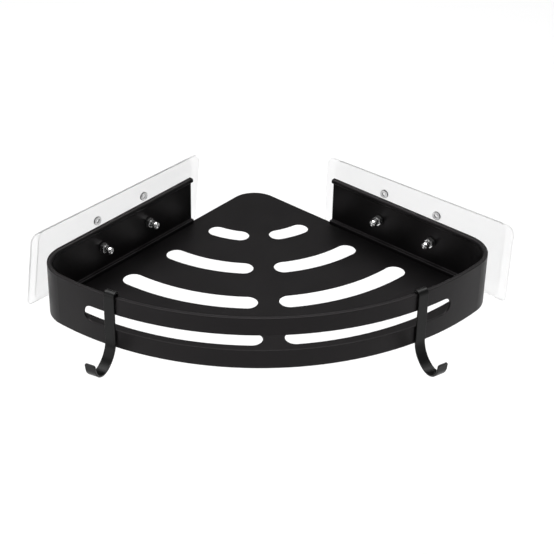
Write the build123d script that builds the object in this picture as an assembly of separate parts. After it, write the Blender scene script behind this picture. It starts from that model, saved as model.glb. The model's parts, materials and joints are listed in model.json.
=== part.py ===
from build123d import *
import os
from math import asin, cos, degrees, hypot, pi, radians, sin, sqrt

os.makedirs("parts", exist_ok=True)

# Millimetres. The origin is where the outer faces of the rail's two wall legs would meet, on the
# tray's top face. +Y points into the room's corner, +Z up, and each wall leg runs at 45 degrees.

# Rail: one strip bent into two wall legs, two corners and a front arc.
wall = 1.2
rail_bottom = -1.6
rail_top = 41.0
front_radius = 220.5
front_centre_y = -37.6
corner_radius = 27.0
leg_end = 82.0
bend_shift = 5.0
bead_depth = 2.6
bead_height = 3.8
bead_round = 1.5
ledge_depth = 3.0
ledge_height = 3.3
ledge_round = 0.8
edge_round = 0.4

# Window in the front arc.
window_height = 13.2
window_middle = 20.2
window_half_angle = 37.2
window_turn = -1.1
window_round = 0.3

# Tray: four rows of two curved slots.
tray_thickness = 0.8
tray_inset = 1.4
tray_rear_radius = 21.0
slot_centre_y = -20.6
slot_first_radius = 60.0
slot_pitch = 47.7
slot_widths = [14.7, 15.9, 16.6, 16.6]
slot_middle_gap = 16.0
slot_end_insets = [26.8, 26.8, 26.8, 30.0]
slot_round = 0.2

# Wall plates, adhesive sheets and their fasteners.
plate_gap = 4.2
plate_thickness = 1.8
plate_inner_low = {"left": (66.0, -3.5), "right": (75.5, -5.5)}
plate_outer_low = {"left": (249.0, 1.5), "right": (251.5, -7.0)}
plate_outer_high = {"left": (240.5, 57.5), "right": (252.5, 59.0)}
plate_inner_high = {"left": (60.0, 54.0), "right": (76.0, 54.5)}
plate_upper_corner = 6.5
plate_lower_corner = 3.0
plate_round = 0.5
adhesive_thickness = 0.8
adhesive_end_margin = 8.0
adhesive_edge_margin = 1.0
stud_stations = {"rear": 129.8, "front": 180.1}
stud_shift = 4.1
stud_height = 21.3
button_height = 42.8
button_outer = 3.3
button_inner = 1.8
button_rise = 1.4
stud_radius = 2.0
stud_end = 5.6
stud_head_radius = 5.0
stud_head = 1.0
stud_chamfer = 0.5
thread_gap = 0.06
nut_seat_gap = 0.03
rail_hole_radius = 2.25
spacer_radius = 4.2
spacer_round = 0.6
washer_radius = 4.4
washer_thickness = 0.8
nut_flats = 7.0
nut_hex = 2.6
nut_neck_radius = 2.75
nut_dome_radius = 3.15
nut_dome_centre = 6.4
nut_bore_depth = 5.9
nut_chamfer = 0.45
nut_turn = 15.0

# Hooks over the front rim.
hook_angles = {"left": -32.2, "right": 28.6}
hook_lifts = {"left": 1.6, "right": 0.0}
hook_drops = {"left": 4.8, "right": 0.8}
hook_width = 8.6
hook_thickness = 1.5
hook_gap = 0.3
hook_rest_gap = 1.0
hook_bend = 2.8
hook_tab = 9.5
hook_upper_radius = 20.1
hook_upper_turn = 64.4
hook_lower_radius = 10.9
hook_turn = 171.0
hook_tip = 5.2
hook_edge = 0.3
hook_tip_corner = 1.5

SIDES = {"left": -1, "right": 1}
HALF = sqrt(0.5)


def wall_point(side, station, depth, height):
    """A point by its distance along a wall, its depth towards the wall, and its height."""
    x = side * HALF * (station + depth)
    y = HALF * (depth - station)
    return Vector(x, y, height)


def wall_plane(side, station, depth, height):
    """A plane facing the wall, its X along the wall away from the room's corner."""
    return Plane(
        origin=wall_point(side, station, depth, height),
        x_dir=(side * HALF, -HALF, 0),
        z_dir=(side * HALF, HALF, 0),
    )


def stud_along(side, station):
    """A stud's distance along its wall: both sides sit a little to the right of true."""
    return station + side * stud_shift


def corner_centre():
    """Centre of the right corner bend, tangent to the wall leg and to the front arc."""
    reach = front_radius - corner_radius
    offset = -corner_radius / HALF
    lean = asin((offset - front_centre_y) / (sqrt(2) * reach))
    angle = pi / 4 + lean
    return reach * sin(angle), front_centre_y - reach * cos(angle), angle


def outline_points(inset):
    """Tangent points of the right half of the outline, moved inward by the inset."""
    cx, cy, angle = corner_centre()
    radius = corner_radius - inset
    leg = (cx + HALF * radius, cy + HALF * radius)
    middle_turn = (pi / 4 + angle - pi / 2) / 2
    middle = (cx + radius * cos(middle_turn), cy + radius * sin(middle_turn))
    front = (cx + radius * sin(angle), cy - radius * cos(angle))
    return leg, middle, front


def mirrored(point):
    return (-point[0], point[1])


def rail_path():
    """The strip's outer face line, from the left leg's free end to the right one's."""
    leg, middle, front = outline_points(0)
    start = wall_point(-1, leg_end - bend_shift, 0, 0)
    end = wall_point(1, leg_end + bend_shift, 0, 0)
    nose = (0, front_centre_y - front_radius)
    return Wire(
        [
            Edge.make_line(start, mirrored(leg)),
            Edge.make_three_point_arc(mirrored(leg), mirrored(middle), mirrored(front)),
            Edge.make_three_point_arc(mirrored(front), nose, front),
            Edge.make_three_point_arc(front, middle, leg),
            Edge.make_line(leg, end),
        ]
    )


def rail_profile():
    """Section of the strip: X inward from its outer face, Y up."""
    ledge = wall + ledge_depth
    bead = wall + bead_depth
    corners = [
        ((0, rail_bottom), edge_round),
        ((ledge, rail_bottom), 0),
        ((ledge, -tray_thickness), 0),
        ((wall, -tray_thickness), 0),
        ((wall, 0), 0),
        ((ledge, 0), 0),
        ((ledge, ledge_height), ledge_round),
        ((wall, ledge_height), ledge_round),
        ((wall, rail_top - bead_height), ledge_round),
        ((bead, rail_top - bead_height), bead_round),
        ((bead, rail_top), bead_round),
        ((0, rail_top), edge_round),
    ]
    face = make_face(Polyline(*[point for point, _ in corners], close=True))
    for point, radius in corners:
        if radius:
            vertex = face.vertices().sort_by_distance((*point, 0))[0]
            face = fillet(vertex, radius)
    return face


def ring_sector(centre_y, inner, outer, half_angle, turn, low, high):
    """A flat ring sector about a vertical axis, its middle turned from straight ahead."""
    start = -90 + turn - half_angle
    centre = (0, centre_y)
    big = CenterArc(centre, outer, start, 2 * half_angle)
    small = CenterArc(centre, inner, start, 2 * half_angle)
    lines = [big, Line(big @ 1, small @ 1), small, Line(small @ 0, big @ 0)]
    face = make_face(lines)
    return extrude(face, amount=high - low).translate((0, 0, low))


def front_plane(angle, radius, height):
    """A plane on the front arc that faces outward at an angle from the middle."""
    x = radius * sin(radians(angle))
    y = front_centre_y - radius * cos(radians(angle))
    return Plane(
        origin=(x, y, height),
        x_dir=(cos(radians(angle)), sin(radians(angle)), 0),
        z_dir=(sin(radians(angle)), -cos(radians(angle)), 0),
    )


def window_cutter():
    half = window_height / 2
    depth = 12
    straight = window_half_angle - degrees(half / front_radius)
    low = window_middle - half
    inner = front_radius - depth
    outer = front_radius + depth
    cutter = ring_sector(front_centre_y, inner, outer, straight, window_turn, low, low + window_height)
    for angle in (window_turn - straight, window_turn + straight):
        cutter += front_plane(angle, front_radius, window_middle) * Cylinder(half, 2 * depth)
    return cutter


def on_window_rim(edge):
    """Whether an edge of the rail runs round the window on the rail's outer face."""
    points = [edge @ share for share in (0.0, 0.5, 1.0)]
    outside = all(abs(hypot(point.X, point.Y - front_centre_y) - front_radius) < 0.05 for point in points)
    level = all(abs(point.Z - window_middle) < window_height / 2 + 0.1 for point in points)
    return outside and level and points[1].Y < front_centre_y


def make_rail():
    path = rail_path()
    start = Plane(origin=path @ 0, x_dir=(HALF, -HALF, 0), z_dir=path % 0)
    rail = sweep(start * rail_profile(), path=path)
    rail -= window_cutter()
    rail = fillet(rail.edges().filter_by(on_window_rim), window_round)
    for side in SIDES.values():
        for station in stud_stations.values():
            place = wall_plane(side, stud_along(side, station), 0, stud_height)
            rail -= place * Cylinder(rail_hole_radius, 6 * wall)
    return rail


def slot_face(radius, width, end_inset):
    """One curved slot of the right half, seen from above."""
    half = width / 2
    lean = asin((end_inset / HALF + slot_centre_y) / (sqrt(2) * radius))
    outer_angle = degrees(pi / 4 - lean)
    inner_angle = degrees(asin((slot_middle_gap / 2 + half) / radius))
    arc = CenterArc((0, slot_centre_y), radius, -90 + inner_angle, outer_angle - inner_angle)
    return trace(arc, line_width=width) + [Pos(*(arc @ end)) * Circle(half) for end in (0, 1)]


def make_tray():
    leg, middle, front = outline_points(tray_inset)
    rear = -tray_inset / HALF
    tangent = tray_rear_radius * HALF
    shoulder = (tangent, rear - tangent)
    tip = (0, rear - tray_rear_radius * (sqrt(2) - 1))
    nose = (0, front_centre_y - front_radius + tray_inset)
    outline = [
        ThreePointArc(mirrored(shoulder), tip, shoulder),
        Line(shoulder, leg),
        ThreePointArc(leg, middle, front),
        ThreePointArc(front, nose, mirrored(front)),
        ThreePointArc(mirrored(front), mirrored(middle), mirrored(leg)),
        Line(mirrored(leg), mirrored(shoulder)),
    ]
    sheet = make_face(outline)
    for row, (width, end_inset) in enumerate(zip(slot_widths, slot_end_insets)):
        slot = slot_face(slot_first_radius + row * slot_pitch, width, end_inset)
        sheet -= slot
        sheet -= mirror(slot, about=Plane.YZ)
    tray = extrude(sheet, amount=tray_thickness).translate((0, 0, -tray_thickness))
    top = tray.faces().sort_by(Axis.Z)[-1]
    slot_edges = [edge for wire in top.inner_wires() for edge in wire.edges()]
    return fillet(slot_edges, slot_round)


def wall_slab(side_name, depth, thickness, end_margin, edge_margin):
    """A sheet flat against one wall, slightly out of square, its upper corners the rounder ones."""
    side = SIDES[side_name]
    corners = [
        (plate_inner_low[side_name], end_margin, edge_margin),
        (plate_outer_low[side_name], -end_margin, edge_margin),
        (plate_outer_high[side_name], -end_margin, -edge_margin),
        (plate_inner_high[side_name], end_margin, -edge_margin),
    ]
    points = [
        wall_point(side, along + inward, depth, height + upward)
        for (along, height), inward, upward in corners
    ]
    face = make_face(Polyline(*points, close=True))
    face = fillet(face.vertices().sort_by(Axis.Z)[2:], plate_upper_corner)
    face = fillet(face.vertices().sort_by(Axis.Z)[0:2], plate_lower_corner)
    return extrude(face, amount=thickness, dir=(side * HALF, HALF, 0))


def make_plate(side_name):
    side = SIDES[side_name]
    plate = wall_slab(side_name, plate_gap, plate_thickness, 0, 0)
    outward = Vector(side * HALF, HALF, 0)
    front_edges = plate.faces().sort_by(Axis((0, 0, 0), outward))[0].edges()
    plate = fillet(front_edges, plate_round)
    for station in stud_stations.values():
        along = stud_along(side, station)
        stud_place = wall_plane(side, along, plate_gap, stud_height)
        plate -= stud_place * Cylinder(stud_radius, 3 * plate_thickness)
        head_depth = plate_gap + plate_thickness - stud_head / 2
        plate -= wall_plane(side, along, head_depth, stud_height) * Cylinder(stud_head_radius, stud_head)
        button = Cylinder(button_outer, button_rise) - Cylinder(button_inner, button_rise)
        plate += wall_plane(side, along, plate_gap - button_rise / 2, button_height) * button
    return plate


def make_adhesive(side_name):
    depth = plate_gap + plate_thickness
    return wall_slab(side_name, depth, adhesive_thickness, adhesive_end_margin, adhesive_edge_margin)


def make_stud(side, station):
    """Flat-headed stud: its head lies in the plate's back, its shank points into the basket."""
    head_back = plate_gap + plate_thickness
    length = head_back + wall + washer_thickness + stud_end
    place = wall_plane(side, stud_along(side, station), head_back - length / 2, stud_height)
    shank = Cylinder(stud_radius, length)
    shank = chamfer(shank.edges().group_by(Axis.Z)[0], stud_chamfer)
    head = Pos(0, 0, (length - stud_head) / 2) * Cylinder(stud_head_radius, stud_head)
    return place * (shank + head)


def make_spacer(side, station):
    """Clear collar round the stud between the plate and the rail."""
    place = wall_plane(side, stud_along(side, station), plate_gap / 2, stud_height)
    collar = Cylinder(spacer_radius, plate_gap)
    collar = fillet(collar.edges().group_by(Axis.Z)[0], spacer_round)
    return place * (collar - Cylinder(stud_radius, plate_gap))


def make_washer(side, station):
    depth = -wall - washer_thickness / 2
    place = wall_plane(side, stud_along(side, station), depth, stud_height)
    hole = Cylinder(stud_radius + thread_gap, washer_thickness)
    return place * (Cylinder(washer_radius, washer_thickness) - hole)


def make_cap_nut(side, station):
    """Hexagon and dome turned about Z, mouth at Z = 0, dome upwards."""
    outline = RegularPolygon(nut_flats / 2, 6, major_radius=False, rotation=-side * nut_turn)
    hexagon = extrude(outline, amount=nut_hex)
    corner = nut_flats / sqrt(3)
    cone = Cone(corner + nut_hex - nut_chamfer, corner - nut_chamfer, nut_hex)
    hexagon = hexagon & (Pos(0, 0, nut_hex / 2) * cone)
    neck = Pos(0, 0, nut_dome_centre / 2) * Cylinder(nut_neck_radius, nut_dome_centre)
    dome = Pos(0, 0, nut_dome_centre) * Sphere(nut_dome_radius)
    bore = Pos(0, 0, nut_bore_depth / 2) * Cylinder(stud_radius + thread_gap, nut_bore_depth)
    nut = hexagon + neck + dome - bore
    seat_depth = -wall - washer_thickness - nut_seat_gap
    seat = wall_plane(side, stud_along(side, station), seat_depth, stud_height)
    facing_in = Plane(origin=seat.origin, x_dir=seat.x_dir, z_dir=-seat.z_dir)
    return facing_in * nut


def hook_path(lift, drop):
    """Middle line of the hook strip: X outward from the rail's outer face, Y up."""
    outer = hook_gap + hook_thickness / 2
    inner = -(wall + bead_depth) - outer
    top = rail_top + hook_rest_gap + lift + hook_thickness / 2
    upper = radians(hook_upper_turn)
    upper_centre = (outer + hook_upper_radius, drop)
    knee = (upper_centre[0] - hook_upper_radius * cos(upper), drop - hook_upper_radius * sin(upper))
    lower_centre = (knee[0] + hook_lower_radius * cos(upper), knee[1] + hook_lower_radius * sin(upper))
    last = radians(hook_turn)
    lip = (lower_centre[0] - hook_lower_radius * cos(last), lower_centre[1] - hook_lower_radius * sin(last))
    tip = (lip[0] + hook_tip * sin(last), lip[1] - hook_tip * cos(last))
    bends = FilletPolyline(
        (inner, top - hook_tab), (inner, top), (outer, top), (outer, drop), radius=hook_bend
    )
    upper_arc = CenterArc(upper_centre, hook_upper_radius, 180, hook_upper_turn)
    lower_arc = CenterArc(lower_centre, hook_lower_radius, 180 + hook_upper_turn, hook_turn - hook_upper_turn)
    return Wire(bends.edges() + upper_arc.edges() + lower_arc.edges() + Line(lip, tip).edges())


def make_hook(side_name):
    path = hook_path(hook_lifts[side_name], hook_drops[side_name])
    start = Plane(origin=path @ 0, x_dir=(1, 0, 0), z_dir=path % 0)
    strip = sweep(start * Rectangle(hook_thickness, hook_width), path=path)
    for end in (0, 1):
        corners = strip.edges().filter_by(lambda edge: abs(edge.length - hook_thickness) < 0.01)
        corners = corners.sort_by_distance(path @ end)[0:2]
        strip = fillet(corners, hook_tip_corner)
    long_edges = strip.edges().filter_by(lambda edge: abs(edge.length - hook_thickness) > 0.01)
    rim = [edge for edge in long_edges if abs(abs((edge @ 0.5).Z) - hook_width / 2) < 0.01]
    strip = fillet(rim, hook_edge)
    place = front_plane(hook_angles[side_name], front_radius, 0)
    upright = Plane(origin=place.origin, x_dir=place.z_dir, z_dir=-place.x_dir)
    return upright * strip


nodes = {"basket_rail": make_rail(), "slotted_tray": make_tray()}
for side_name, side_sign in SIDES.items():
    nodes[f"plate_{side_name}"] = make_plate(side_name)
    nodes[f"adhesive_{side_name}"] = make_adhesive(side_name)
    nodes[f"hook_{side_name}"] = make_hook(side_name)
    for place_name, station in stud_stations.items():
        where = f"{side_name}_{place_name}"
        nodes[f"stud_{where}"] = make_stud(side_sign, station)
        nodes[f"spacer_{where}"] = make_spacer(side_sign, station)
        nodes[f"washer_{where}"] = make_washer(side_sign, station)
        nodes[f"cap_nut_{where}"] = make_cap_nut(side_sign, station)

for name, solid in nodes.items():
    export_step(solid, f"parts/{name}.step")
    print(name, len(solid.solids()), round(solid.volume, 1))
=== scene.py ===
import json
import math

import bmesh
import bpy
from mathutils import Matrix, Vector


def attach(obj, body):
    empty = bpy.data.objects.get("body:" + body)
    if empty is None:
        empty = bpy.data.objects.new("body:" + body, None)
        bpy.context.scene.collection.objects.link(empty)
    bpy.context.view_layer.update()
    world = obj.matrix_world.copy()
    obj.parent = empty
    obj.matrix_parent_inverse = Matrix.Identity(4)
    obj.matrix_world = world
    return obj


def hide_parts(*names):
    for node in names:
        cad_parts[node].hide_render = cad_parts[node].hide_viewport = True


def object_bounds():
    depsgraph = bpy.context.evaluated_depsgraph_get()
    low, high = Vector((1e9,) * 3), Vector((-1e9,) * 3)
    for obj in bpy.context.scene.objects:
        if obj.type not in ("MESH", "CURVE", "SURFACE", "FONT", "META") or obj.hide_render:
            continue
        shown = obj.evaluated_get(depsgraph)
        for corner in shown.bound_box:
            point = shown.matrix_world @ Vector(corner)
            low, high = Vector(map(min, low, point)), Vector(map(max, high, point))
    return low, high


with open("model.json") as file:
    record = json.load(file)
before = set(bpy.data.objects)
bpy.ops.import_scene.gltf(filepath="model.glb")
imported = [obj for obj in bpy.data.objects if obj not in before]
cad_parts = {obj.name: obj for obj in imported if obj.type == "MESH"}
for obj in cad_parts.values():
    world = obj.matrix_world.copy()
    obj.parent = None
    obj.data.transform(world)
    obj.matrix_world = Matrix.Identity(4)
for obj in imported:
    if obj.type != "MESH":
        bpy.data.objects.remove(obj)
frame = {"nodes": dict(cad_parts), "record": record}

cad_box = [list(corner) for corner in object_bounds()]
scene = bpy.context.scene

MILLIMETRE = 0.001
UP = Vector((0.0, 0.0, 1.0))

# Camera: where it looks, from where, and its lens.
AIM = Vector((0.0109, -0.1236, -0.0117))
AZIMUTH = math.radians(-5.53)
ELEVATION = math.radians(32.9)
ROLL = math.radians(1.34)
DISTANCE = 1.2538
LENS = 103.8

# Floor, in metres, and its shade.
FLOOR_DROP = 0.44
FLOOR_SIZE = 14.0
FLOOR_WHITE = 0.86
FLOOR_MOTTLE = 0.01

# Room: brightness overhead and at the horizon, and how far up the paler horizon reaches.
SKY = 0.12
HORIZON = 0.75
HORIZON_TOP = 0.22

# Lights, in watts and metres.
TOP_LIGHT = 165.0
LEFT_LIGHT = 5.0
RIGHT_LIGHT = 1.0
TOP_LIGHT_PLACE = (0.0, 0.6, 2.8)
TOP_LIGHT_SIZE = (3.6, 3.6)
TOP_LIGHT_TARGET = (0.0, 0.6, 0.0)
SIDE_LIGHT_OUT = 1.6
SIDE_LIGHT_NEAR = -0.9
SIDE_LIGHT_HEIGHT = 0.5
SIDE_LIGHT_SIZE = (0.8, 1.4)

# Tint of the rail's and the tray's powder coat, and how uneven its shade and gloss are.
WARM_BLACK = (1.0, 0.93, 0.965)
COAT_MOTTLE = 0.2
GLOSS_MOTTLE = 0.03

# Plates and films look faintly milky, with a softer bend of the light than solid acrylic and uneven gloss.
PLASTIC_IOR = 1.2
PLASTIC_MOTTLE = 0.05

# The adhesive film's distance behind its plate, in metres.
FILM_GAP = 0.00006

# How uneven bright metal is: factors on its shade and on its roughness.
METAL_SHADES = (0.94, 1.05)
METAL_GLOSSES = (0.7, 1.4)

# Noise values mostly lie between these.
NOISE_LOW = 0.3
NOISE_HIGH = 0.7

# Studs: millimetres along the axis from the nut's seat, positive into the basket, and radii.
STUD_BACK = -8.0
STUD_HEAD = 1.0
STUD_TIP = 5.6
STUD_HEAD_RADIUS = 5.0
THREAD_CREST = 2.0
THREAD_ROOT = 1.62
THREAD_PITCH = 0.7
THREAD_STEPS = 28
THREAD_ROWS_PER_TURN = 8
TIP_CHAMFER = 0.5
HEAD_CHAMFER = 0.15
CREST_WIDENING = 1.15

# Moulded rings on the plates: millimetres from a nut's seat to the plate's face, up, and the section.
RING_BACK = -6.2
RING_UP = 21.5
RING_SECTION = [(3.5, -0.05), (3.5, 1.2), (3.25, 1.5), (1.85, 1.5), (1.6, 1.2), (1.6, -0.05)]
RING_STEPS = 32


def new_material(name):
    """An empty node material with its Principled shader and a node maker."""
    material = bpy.data.materials.new(name)
    material.use_nodes = True
    tree = material.node_tree
    shader = tree.nodes["Principled BSDF"]

    def add(kind, inputs=None, **settings):
        node = tree.nodes.new(kind)
        for key, value in settings.items():
            setattr(node, key, value)
        for key, value in (inputs or {}).items():
            if isinstance(value, bpy.types.NodeSocket):
                tree.links.new(value, node.inputs[key])
            else:
                node.inputs[key].default_value = value
        return node

    return material, shader, add, tree.links.new


def set_colour(add, link, shader, noise, low, high):
    """Mixes two colours by a noise into the shader's colour."""
    tone = add("ShaderNodeMix", {"Factor": noise.outputs["Fac"]}, data_type="RGBA")
    tone.inputs["A"].default_value = low
    tone.inputs["B"].default_value = high
    link(tone.outputs["Result"], shader.inputs["Base Color"])


def set_gloss(add, link, shader, noise, low, high):
    """Spreads the shader's roughness between two values by a noise."""
    spread = {"From Min": NOISE_LOW, "From Max": NOISE_HIGH, "To Min": low, "To Max": high}
    gloss = add("ShaderNodeMapRange", {"Value": noise.outputs["Fac"], **spread})
    link(gloss.outputs["Result"], shader.inputs["Roughness"])


def grey(value, tint=(1.0, 1.0, 1.0)):
    """An opaque grey, slightly tinted."""
    return (value * tint[0], value * tint[1], value * tint[2], 1.0)


def powder_coat(name, shade, roughness, tint=(1.0, 1.0, 1.0), specular=0.5):
    """Satin black powder coat: fine orange peel, slightly uneven gloss and shade."""
    material, shader, add, link = new_material(name)
    place = add("ShaderNodeTexCoord").outputs["Object"]
    peel = add("ShaderNodeTexNoise", {"Vector": place, "Scale": 900.0, "Detail": 2.0, "Roughness": 0.55})
    speck = add("ShaderNodeTexNoise", {"Vector": place, "Scale": 3200.0, "Detail": 1.0})
    cloud = add("ShaderNodeTexNoise", {"Vector": place, "Scale": 38.0, "Detail": 3.0})
    height = add("ShaderNodeMath", {0: speck.outputs["Fac"], 1: 0.35}, operation="MULTIPLY")
    height = add("ShaderNodeMath", {0: height.outputs[0], 1: peel.outputs["Fac"]}, operation="ADD")
    bump = add("ShaderNodeBump", {"Strength": 0.45, "Distance": 0.00006, "Height": height.outputs[0]})
    link(bump.outputs["Normal"], shader.inputs["Normal"])
    darker, paler = grey(shade * (1.0 - COAT_MOTTLE), tint), grey(shade * (1.0 + COAT_MOTTLE), tint)
    set_colour(add, link, shader, cloud, darker, paler)
    set_gloss(add, link, shader, cloud, roughness - GLOSS_MOTTLE, roughness + GLOSS_MOTTLE)
    shader.inputs["Specular IOR Level"].default_value = specular
    shader.inputs["Specular Tint"].default_value = grey(1.0, tint)
    return material


def clear_plastic(name, shade, roughness, cloudiness):
    """Clear moulded plastic with a faint cloudy mottle."""
    material, shader, add, link = new_material(name)
    place = add("ShaderNodeTexCoord").outputs["Object"]
    cloud = add("ShaderNodeTexNoise", {"Vector": place, "Scale": 70.0, "Detail": 4.0, "Roughness": 0.6})
    set_colour(add, link, shader, cloud, grey(shade - cloudiness), grey(min(1.0, shade + cloudiness)))
    set_gloss(add, link, shader, cloud, roughness - PLASTIC_MOTTLE, roughness + PLASTIC_MOTTLE)
    ripple = add("ShaderNodeBump", {"Strength": 0.2, "Distance": 0.0002, "Height": cloud.outputs["Fac"]})
    link(ripple.outputs["Normal"], shader.inputs["Normal"])
    shader.inputs["Transmission Weight"].default_value = 1.0
    shader.inputs["IOR"].default_value = PLASTIC_IOR
    return material


def bright_metal(name, shade, roughness):
    """Plated or stainless metal with hairline unevenness."""
    material, shader, add, link = new_material(name)
    place = add("ShaderNodeTexCoord").outputs["Object"]
    smear = add("ShaderNodeTexNoise", {"Vector": place, "Scale": 420.0, "Detail": 3.0})
    duller, brighter = METAL_SHADES
    smoother, rougher = METAL_GLOSSES
    set_colour(add, link, shader, smear, grey(shade * duller), grey(shade * brighter))
    set_gloss(add, link, shader, smear, roughness * smoother, roughness * rougher)
    shader.inputs["Metallic"].default_value = 1.0
    return material


def floor_material():
    """A pale matt floor with a barely visible mottle."""
    material, shader, add, link = new_material("pale_floor")
    place = add("ShaderNodeTexCoord").outputs["Object"]
    cloud = add("ShaderNodeTexNoise", {"Vector": place, "Scale": 1.5, "Detail": 2.0})
    set_colour(add, link, shader, cloud, grey(FLOOR_WHITE - FLOOR_MOTTLE), grey(FLOOR_WHITE + FLOOR_MOTTLE))
    shader.inputs["Roughness"].default_value = 0.9
    return material


def assign(material, prefix):
    """Gives every CAD node whose name starts with the prefix this material."""
    for name, node in frame["nodes"].items():
        if name.startswith(prefix):
            for slot in node.material_slots:
                slot.link = "OBJECT"
                slot.material = material


def add_camera():
    """The camera, from its direction, roll and distance."""
    forward = Vector((
        -math.sin(AZIMUTH) * math.cos(ELEVATION),
        math.cos(AZIMUTH) * math.cos(ELEVATION),
        -math.sin(ELEVATION),
    ))
    level = Vector((math.cos(AZIMUTH), math.sin(AZIMUTH), 0.0))
    upright = level.cross(forward)
    right = math.cos(ROLL) * level + math.sin(ROLL) * upright
    up = math.cos(ROLL) * upright - math.sin(ROLL) * level
    data = bpy.data.cameras.new("camera")
    data.lens = LENS
    data.clip_end = 50.0
    camera = bpy.data.objects.new("camera", data)
    turn = Matrix((right, up, -forward)).transposed().to_4x4()
    camera.matrix_world = Matrix.Translation(AIM - DISTANCE * forward) @ turn
    scene.collection.objects.link(camera)
    scene.camera = camera


def add_floor():
    """The floor, well below the basket."""
    mesh = bpy.data.meshes.new("floor")
    build = bmesh.new()
    bmesh.ops.create_grid(build, x_segments=4, y_segments=4, size=FLOOR_SIZE / 2)
    build.to_mesh(mesh)
    build.free()
    floor = bpy.data.objects.new("floor", mesh)
    floor.location = (0.0, 0.0, cad_box[0][2] - FLOOR_DROP)
    mesh.materials.append(floor_material())
    scene.collection.objects.link(floor)


def add_area_light(name, place, size, watts, target):
    """A soft rectangular light aimed at a target."""
    data = bpy.data.lights.new(name, "AREA")
    data.shape = "RECTANGLE"
    data.size, data.size_y = size
    data.energy = watts
    light = bpy.data.objects.new(name, data)
    light.location = place
    light.rotation_euler = (Vector(target) - Vector(place)).to_track_quat("-Z", "Y").to_euler()
    scene.collection.objects.link(light)


def add_world():
    """A dim studio room, paler near the horizon."""
    world = bpy.data.worlds.new("studio")
    world.use_nodes = True
    nodes = world.node_tree.nodes
    background = nodes["Background"]
    background.inputs["Color"].default_value = grey(1.0)
    direction = nodes.new("ShaderNodeTexCoord")
    split = nodes.new("ShaderNodeSeparateXYZ")
    fade = nodes.new("ShaderNodeMapRange")
    fade.inputs["From Min"].default_value = 0.0
    fade.inputs["From Max"].default_value = HORIZON_TOP
    fade.inputs["To Min"].default_value = HORIZON
    fade.inputs["To Max"].default_value = SKY
    links = world.node_tree.links
    links.new(direction.outputs["Generated"], split.inputs["Vector"])
    links.new(split.outputs["Z"], fade.inputs["Value"])
    links.new(fade.outputs["Result"], background.inputs["Strength"])
    scene.world = world


def nut_seat(where):
    """A nut's seat in metres, and its axis, pointing into the basket."""
    joints = {joint["name"]: joint for joint in frame["record"]["behaviour"]["joints"]}
    joint = joints["nut_" + where + "_turn"]
    return Vector(joint["pos_m"]), Vector(joint["axis"]).normalized()


def finish_piece(name, build, material):
    """A new object from a finished bmesh, with its faces turned outward."""
    bmesh.ops.recalc_face_normals(build, faces=build.faces)
    mesh = bpy.data.meshes.new(name)
    build.to_mesh(mesh)
    build.free()
    mesh.materials.append(material)
    piece = bpy.data.objects.new(name, mesh)
    scene.collection.objects.link(piece)
    return piece


def thread_radius(along, turn):
    """Radius of the stud's shank at a distance along it and a turn in whole turns."""
    phase = (along / THREAD_PITCH - turn) % 1.0
    rise = 1.0 - abs(2.0 * phase - 1.0)
    radius = THREAD_ROOT + (THREAD_CREST - THREAD_ROOT) * min(1.0, CREST_WIDENING * rise)
    return min(radius, THREAD_CREST - max(0.0, TIP_CHAMFER - (STUD_TIP - along)))


def add_stud(where, material):
    """A threaded stud with a flat head, in place of the plain CAD one."""
    seat, axis = nut_seat(where)
    cross = axis.cross(UP)
    neck = STUD_BACK + STUD_HEAD
    eased = STUD_HEAD_RADIUS - HEAD_CHAMFER
    rows = [(STUD_BACK, eased), (STUD_BACK + HEAD_CHAMFER, STUD_HEAD_RADIUS)]
    rows += [(neck - HEAD_CHAMFER, STUD_HEAD_RADIUS), (neck, eased), (neck, THREAD_CREST)]
    count = int((STUD_TIP - neck) / THREAD_PITCH * THREAD_ROWS_PER_TURN)
    rows += [(neck + (STUD_TIP - neck) * (row + 1) / count, None) for row in range(count)]
    build = bmesh.new()
    rings = []
    for along, fixed in rows:
        ring = []
        for step in range(THREAD_STEPS):
            turn = step / THREAD_STEPS
            radius = thread_radius(along, turn) if fixed is None else fixed
            swing = math.tau * turn
            offset = radius * (math.cos(swing) * UP + math.sin(swing) * cross)
            ring.append(build.verts.new(seat + MILLIMETRE * (along * axis + offset)))
        rings.append(ring)
    for low, high in zip(rings, rings[1:]):
        for step in range(THREAD_STEPS):
            after = (step + 1) % THREAD_STEPS
            build.faces.new((low[step], high[step], high[after], low[after]))
    build.faces.new(rings[0])
    build.faces.new(list(reversed(rings[-1])))
    stud = finish_piece("threaded_stud_" + where, build, material)
    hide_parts("stud_" + where)
    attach(stud, "basket")


def add_ring(where, material):
    """A moulded ring on the plate above a nut, over the plain CAD one; its clear plastic is darkened as
    painted shade for the ring's refraction shading.
    """
    seat, axis = nut_seat(where)
    cross = axis.cross(UP)
    centre = seat + MILLIMETRE * (RING_BACK * axis + RING_UP * UP)
    build = bmesh.new()
    loops = []
    for step in range(RING_STEPS):
        swing = math.tau * step / RING_STEPS
        spoke = math.cos(swing) * UP + math.sin(swing) * cross
        points = [centre + MILLIMETRE * (radius * spoke + rise * axis) for radius, rise in RING_SECTION]
        loops.append([build.verts.new(point) for point in points])
    for low, high in zip(loops, loops[1:] + loops[:1]):
        for point in range(len(RING_SECTION)):
            after = (point + 1) % len(RING_SECTION)
            build.faces.new((low[point], high[point], high[after], low[after]))
    ring = finish_piece("plate_ring_" + where, build, material)
    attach(ring, "basket")


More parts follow.
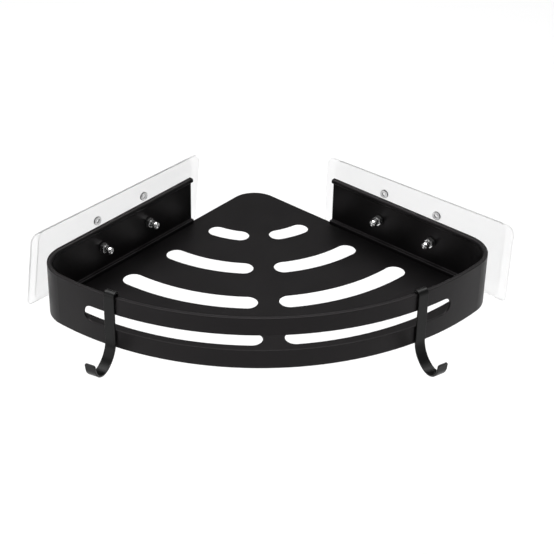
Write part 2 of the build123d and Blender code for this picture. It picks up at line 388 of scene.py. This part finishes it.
def add_film(side_name, side, material):
    """The adhesive sheet, a hair behind the plate so that their faces don't coincide."""
    node = frame["nodes"]["adhesive_" + side_name]
    mesh = node.data.copy()
    mesh.transform(Matrix.Translation(FILM_GAP * Vector((side, 1.0, 0.0)).normalized()))
    mesh.materials.clear()
    mesh.materials.append(material)
    film = bpy.data.objects.new("film_" + side_name, mesh)
    scene.collection.objects.link(film)
    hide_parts("adhesive_" + side_name)
    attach(film, "basket")


add_camera()
add_floor()
add_world()
add_area_light("top_light", TOP_LIGHT_PLACE, TOP_LIGHT_SIZE, TOP_LIGHT, TOP_LIGHT_TARGET)
for name, side, watts in (("left_light", -1.0, LEFT_LIGHT), ("right_light", 1.0, RIGHT_LIGHT)):
    place = (side * SIDE_LIGHT_OUT, SIDE_LIGHT_NEAR, SIDE_LIGHT_HEIGHT)
    add_area_light(name, place, SIDE_LIGHT_SIZE, watts, AIM)

rail_coat = powder_coat("rail_coat", shade=0.0034, roughness=0.42, tint=WARM_BLACK, specular=0.24)
tray_coat = powder_coat("tray_coat", shade=0.0029, roughness=0.42, tint=WARM_BLACK, specular=0.145)
assign(rail_coat, "basket_rail")
assign(tray_coat, "slotted_tray")
assign(powder_coat("hook_coat", shade=0.0040, roughness=0.31, specular=0.22), "hook")
assign(clear_plastic("plate_clear", shade=0.93, roughness=0.42, cloudiness=0.04), "plate")
assign(clear_plastic("spacer_clear", shade=0.96, roughness=0.1, cloudiness=0.02), "spacer")
assign(bright_metal("nut_chrome", shade=0.88, roughness=0.20), "cap_nut")
assign(powder_coat("washer_nylon", shade=0.006, roughness=0.6), "washer")

stud_metal = bright_metal("stud_metal", shade=0.6, roughness=0.22)
film_clear = clear_plastic("adhesive_clear", shade=0.995, roughness=0.30, cloudiness=0.04)
# The rings' clear plastic is darker than the plate's: painted shade standing in for the shading that the
# rings' refraction gives.
ring_painted_shade = clear_plastic("ring_painted_shade", shade=0.66, roughness=0.25, cloudiness=0.05)
for side_name, side in (("left", -1.0), ("right", 1.0)):
    add_film(side_name, side, film_clear)
    for station_name in ("rear", "front"):
        add_stud(side_name + "_" + station_name, stud_metal)
        add_ring(side_name + "_" + station_name, ring_painted_shade)

scene.view_settings.view_transform = "Standard"
scene.view_settings.look = "None"
